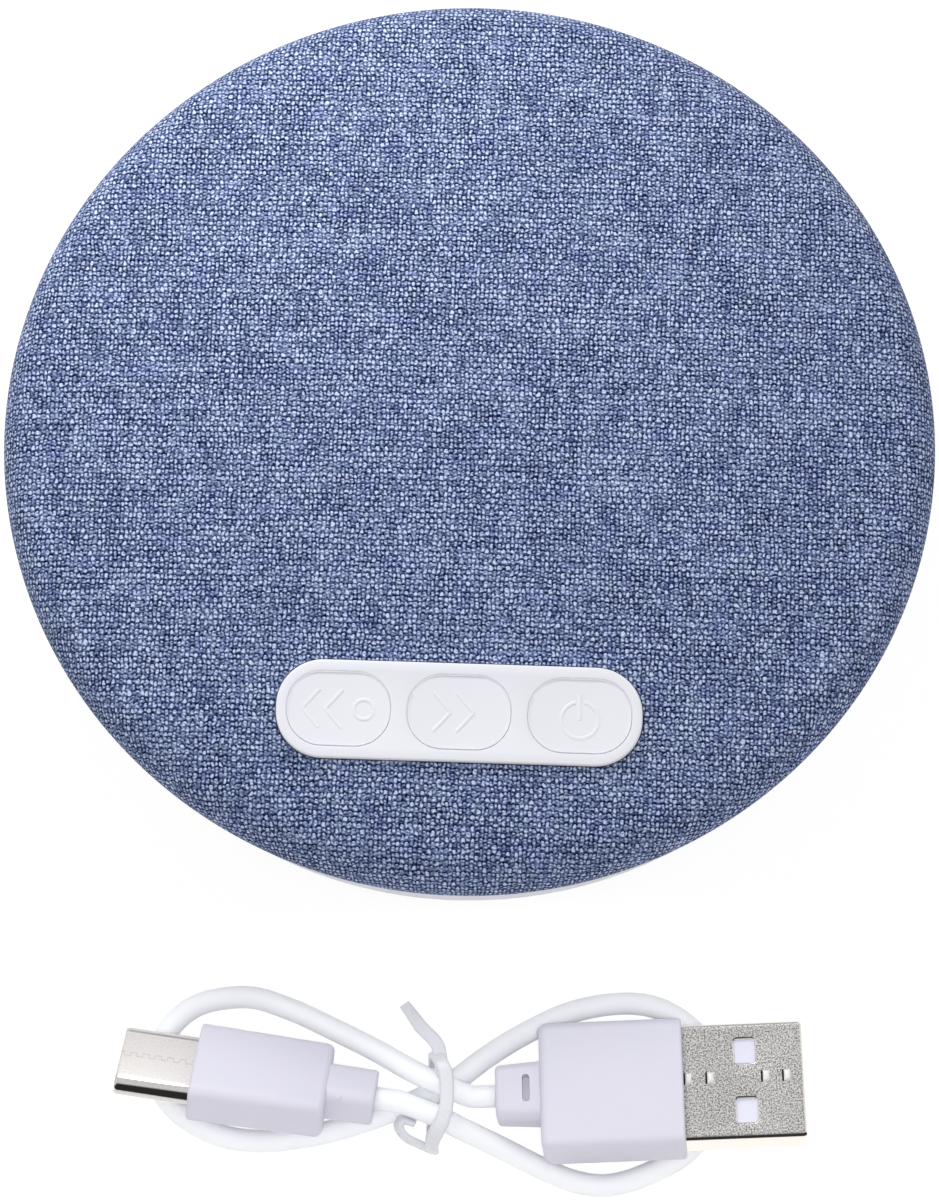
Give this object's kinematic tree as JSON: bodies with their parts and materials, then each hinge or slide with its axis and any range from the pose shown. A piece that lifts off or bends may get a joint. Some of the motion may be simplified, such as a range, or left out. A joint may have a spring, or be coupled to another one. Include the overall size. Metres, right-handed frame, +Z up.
{
  "type": "pillow speaker",
  "caption": "Low round pillow speaker with a woven cover over a shallow dome, a flush control bar with buttons, a driver inside, and its short tied charging lead.",
  "frame": {"origin": "on the table under the middle of the round body, in the plane of the feet", "axes": "+Z up along the body's axis, -Y towards the control bar and the charging lead, +X to the right"},
  "size_m": [0.0956, 0.1232, 0.0215],
  "materials": {
    "white_case": "fine moulded texture",
    "white_panel": "smooth satin",
    "blue_cover": "plain weave of mixed blue yarns",
    "rubber_foot": "soft matt",
    "screw_steel": "zinc plated",
    "switch_plunger": "matt",
    "switch_metal": "stamped",
    "circuit_board": "solder mask",
    "gasket_foam": "closed-cell foam",
    "basket_plastic": "moulded",
    "driver_steel": "plated",
    "magnet": "nickel plated",
    "coil": "wound enamelled wire",
    "cone_paper": "pressed paper",
    "surround_rubber": "soft",
    "spider_cloth": "treated cloth",
    "terminal_strip": "pressed board",
    "red_wire": "soft",
    "black_wire": "soft",
    "chip": "moulded",
    "ferrite": "sintered",
    "plug_housing": "moulded",
    "socket_steel": "plated",
    "socket_tongue": "moulded",
    "cell_pouch": "foil pouch",
    "tape": "foam tape",
    "white_cord": "smooth soft jacket",
    "white_tie": "soft",
    "white_grip": "soft moulded",
    "plug_shell": "grained plating",
    "white_insulator": "moulded",
    "gold_contact": "plated"
  },
  "bodies": {
    "case": {"base_shell": "white_case", "foot_1": "rubber_foot", "foot_2": "rubber_foot", "foot_3": "rubber_foot", "foot_4": "rubber_foot", "case_screw_1": "screw_steel", "case_screw_2": "screw_steel", "case_screw_3": "screw_steel", "case_screw_4": "screw_steel", "top_shell": "white_case", "fabric_cover": "blue_cover", "control_panel": "white_panel", "back_switch": "switch_metal", "next_switch": "switch_metal", "power_switch": "switch_metal", "switch_board": "circuit_board", "switch_board_screws": "screw_steel", "driver_gasket": "gasket_foam", "driver_basket": "basket_plastic", "driver_yoke": "driver_steel", "driver_magnet": "magnet", "driver_pole_plate": "driver_steel", "driver_surround": "surround_rubber", "driver_spider": "spider_cloth", "driver_terminals": "terminal_strip", "driver_screws": "screw_steel", "driver_lead_red": "red_wire", "driver_lead_black": "black_wire", "main_board": "circuit_board", "main_board_screws": "screw_steel", "audio_chip": "chip", "amplifier_chip": "chip", "charge_coil": "ferrite", "board_plugs": "plug_housing", "usb_socket": "socket_steel", "usb_socket_tongue": "socket_tongue", "battery_cell": "cell_pouch", "battery_tape": "tape", "battery_lead_red": "red_wire", "battery_lead_black": "black_wire"},
    "back_key": {"back_button": "white_panel", "back_plunger": "switch_plunger"},
    "next_key": {"next_button": "white_panel", "next_plunger": "switch_plunger"},
    "power_key": {"power_button": "white_panel", "power_plunger": "switch_plunger"},
    "cone_assembly": {"driver_cone": "cone_paper", "dust_cap": "cone_paper", "voice_coil": "coil"},
    "charging_lead": {"lead_cord": "white_cord", "lead_tie": "white_tie", "usb_a_grip": "white_grip", "usb_a_shell": "plug_shell", "usb_a_insulator": "white_insulator", "usb_a_contacts": "gold_contact", "usb_c_grip": "white_grip", "usb_c_shell": "plug_shell", "usb_c_insert": "socket_tongue"}
  },
  "joints": [
    {"name": "back_press", "type": "slide", "parent": "case", "child": "back_key", "axis": [0, 0.0507, -0.9987], "range_m": [0, 0.0004], "stiffness_N_per_m": 1500},
    {"name": "next_press", "type": "slide", "parent": "case", "child": "next_key", "axis": [0, 0.0507, -0.9987], "range_m": [0, 0.0004], "stiffness_N_per_m": 1500},
    {"name": "power_press", "type": "slide", "parent": "case", "child": "power_key", "axis": [0, 0.0507, -0.9987], "range_m": [0, 0.0004], "stiffness_N_per_m": 1500},
    {"name": "cone_travel", "type": "slide", "parent": "case", "child": "cone_assembly", "axis": [0, 0, 1], "range_m": [-0.0005, 0.0005], "stiffness_N_per_m": 1000, "deforming": ["driver_surround", "driver_spider"]},
    {"name": "lead_slide", "type": "slide", "parent": "case", "child": "charging_lead", "axis": [0, -1, 0], "range_m": [0, 0.05]}
  ]
}
